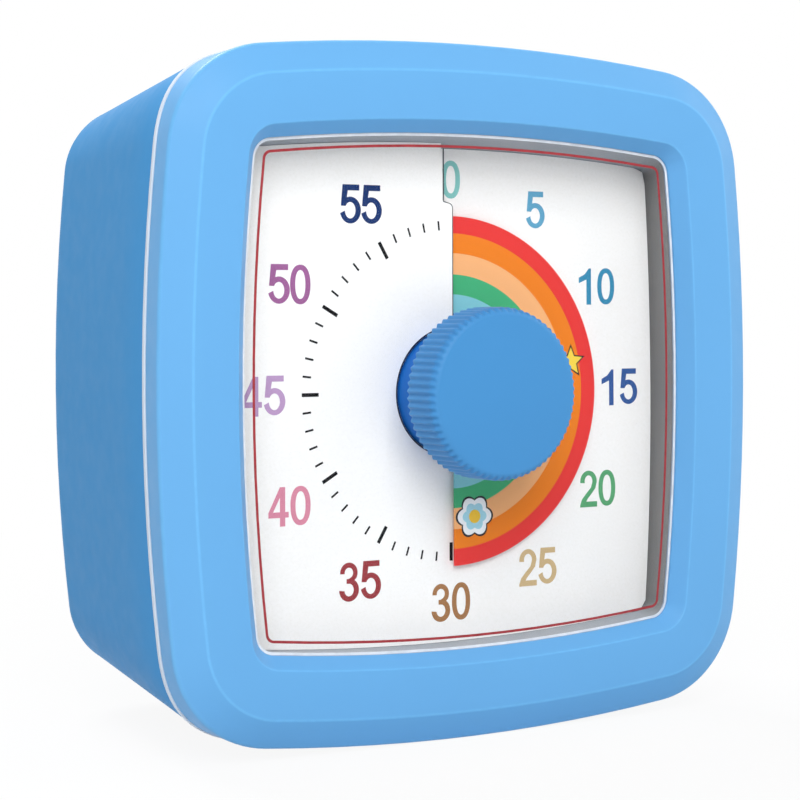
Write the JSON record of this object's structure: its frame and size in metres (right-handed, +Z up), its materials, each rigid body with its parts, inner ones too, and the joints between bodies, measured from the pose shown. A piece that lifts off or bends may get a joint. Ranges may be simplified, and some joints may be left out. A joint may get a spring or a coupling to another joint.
{
  "type": "visual countdown timer",
  "caption": "Square desk timer with bulged sides: a round knob turns a coloured disc through the slit of a numbered sixty-minute card behind a clear pane.",
  "frame": {"origin": "on the ground under the middle of the box round the whole timer", "axes": "+Z up, the face looks along -Y, +X to the right as seen from the front"},
  "size_m": [0.085, 0.0526, 0.085],
  "materials": {
    "bezel_blue": "satin moulded",
    "case_blue": "satin moulded",
    "frame_white": "satin moulded",
    "clear_pane": "polished clear plastic",
    "card_white": "printed card",
    "disc_print": "printed film",
    "neck_blue": "satin moulded",
    "knob_blue": "satin moulded",
    "steel": "bright steel",
    "spring_steel": "bright steel",
    "brass": "turned brass",
    "acetal": "natural acetal",
    "magnet": "sintered",
    "iron": "stamped sheet",
    "copper": "enamelled wire",
    "plate_grey": "moulded",
    "board_green": "solder resist",
    "chip_black": "epoxy",
    "sleeve_dark": "shrink sleeve",
    "buzzer_black": "moulded",
    "battery_jacket": "plain jacket",
    "foot_rubber": "matt rubber",
    "red_lead": "insulated wire",
    "black_lead": "insulated wire",
    "green_lead": "insulated wire"
  },
  "bodies": {
    "case": {"rear_case": "case_blue", "bezel": "bezel_blue", "window_pane": "clear_pane", "dial_frame": "frame_white", "dial_card": "card_white", "stator": "iron", "coil_core": "iron", "coil_bobbin": "acetal", "coil_winding": "copper", "coil_screws": "steel", "movement_front_plate": "plate_grey", "movement_back_plate": "plate_grey", "movement_screws": "steel", "zero_contact": "spring_steel", "circuit_board": "board_green", "control_chip": "chip_black", "quartz_crystal": "steel", "capacitor": "sleeve_dark", "board_screws": "steel", "sound_switch": "steel", "buzzer": "buzzer_black", "battery": "battery_jacket", "spring_contact": "spring_steel", "flat_contact": "spring_steel", "case_screws": "steel", "bezel_screws": "steel", "rubber_feet": "foot_rubber", "battery_leads": "red_lead", "buzzer_leads": "black_lead", "coil_leads": "copper", "contact_leads": "green_lead"},
    "knob": {"knob_cap": "knob_blue", "knob_core": "neck_blue", "main_shaft": "steel", "zero_cam": "acetal", "clutch_spring": "spring_steel", "clutch_collar": "brass"},
    "dial_disc": {"rainbow_disc": "disc_print", "disc_hub": "neck_blue"},
    "centre_wheel": {"centre_wheel": "acetal"},
    "third_wheel": {"third_wheel": "acetal"},
    "second_wheel": {"second_wheel": "acetal"},
    "intermediate_wheel": {"intermediate_wheel": "acetal"},
    "rotor": {"rotor": "acetal", "rotor_magnet": "magnet"},
    "battery_door": {"battery_door": "case_blue"},
    "sound_slider": {"sound_slider": "neck_blue"}
  },
  "joints": [
    {"name": "knob_turn", "type": "hinge", "parent": "case", "child": "knob", "pos_m": [0, -0.0209, 0.0425], "axis": [0, 1, 0], "range_deg": [-180, 180]},
    {"name": "disc_rise", "type": "slide", "parent": "knob", "child": "dial_disc", "axis": [0, -1, 0], "range_m": [-0.00081, 0.00081]},
    {"name": "rotor_spin", "type": "hinge", "parent": "case", "child": "rotor", "pos_m": [0.0068, -0.0009, 0.03174], "axis": [0, 1, 0], "continuous": true},
    {"name": "intermediate_spin", "type": "hinge", "parent": "case", "child": "intermediate_wheel", "pos_m": [0.00122, -0.0009, 0.03125], "axis": [0, 1, 0], "continuous": true},
    {"name": "second_spin", "type": "hinge", "parent": "case", "child": "second_wheel", "pos_m": [-0.00468, -0.0009, 0.03229], "axis": [0, 1, 0], "continuous": true},
    {"name": "third_spin", "type": "hinge", "parent": "case", "child": "third_wheel", "pos_m": [-0.01015, -0.0009, 0.03881], "axis": [0, 1, 0], "continuous": true},
    {"name": "centre_spin", "type": "hinge", "parent": "case", "child": "centre_wheel", "pos_m": [0, -0.0029, 0.0425], "axis": [0, 1, 0], "continuous": true},
    {"name": "battery_door_hinge", "type": "hinge", "parent": "case", "child": "battery_door", "pos_m": [0, 0.0255, 0.0257], "axis": [-1, 0, 0], "range_deg": [0, 95]},
    {"name": "sound_slide", "type": "slide", "parent": "case", "child": "sound_slider", "axis": [-1, 0, 0], "range_m": [-0.002, 0.002]}
  ],
  "couplings": [
    {"joint": "disc_rise", "follows": "knob_turn", "m_per_rad": 0.00025465},
    {"joint": "intermediate_spin", "follows": "rotor_spin", "ratio": -0.16667},
    {"joint": "second_spin", "follows": "rotor_spin", "ratio": 0.033333},
    {"joint": "third_spin", "follows": "rotor_spin", "ratio": -0.0044444},
    {"joint": "centre_spin", "follows": "rotor_spin", "ratio": 0.00055556}
  ]
}
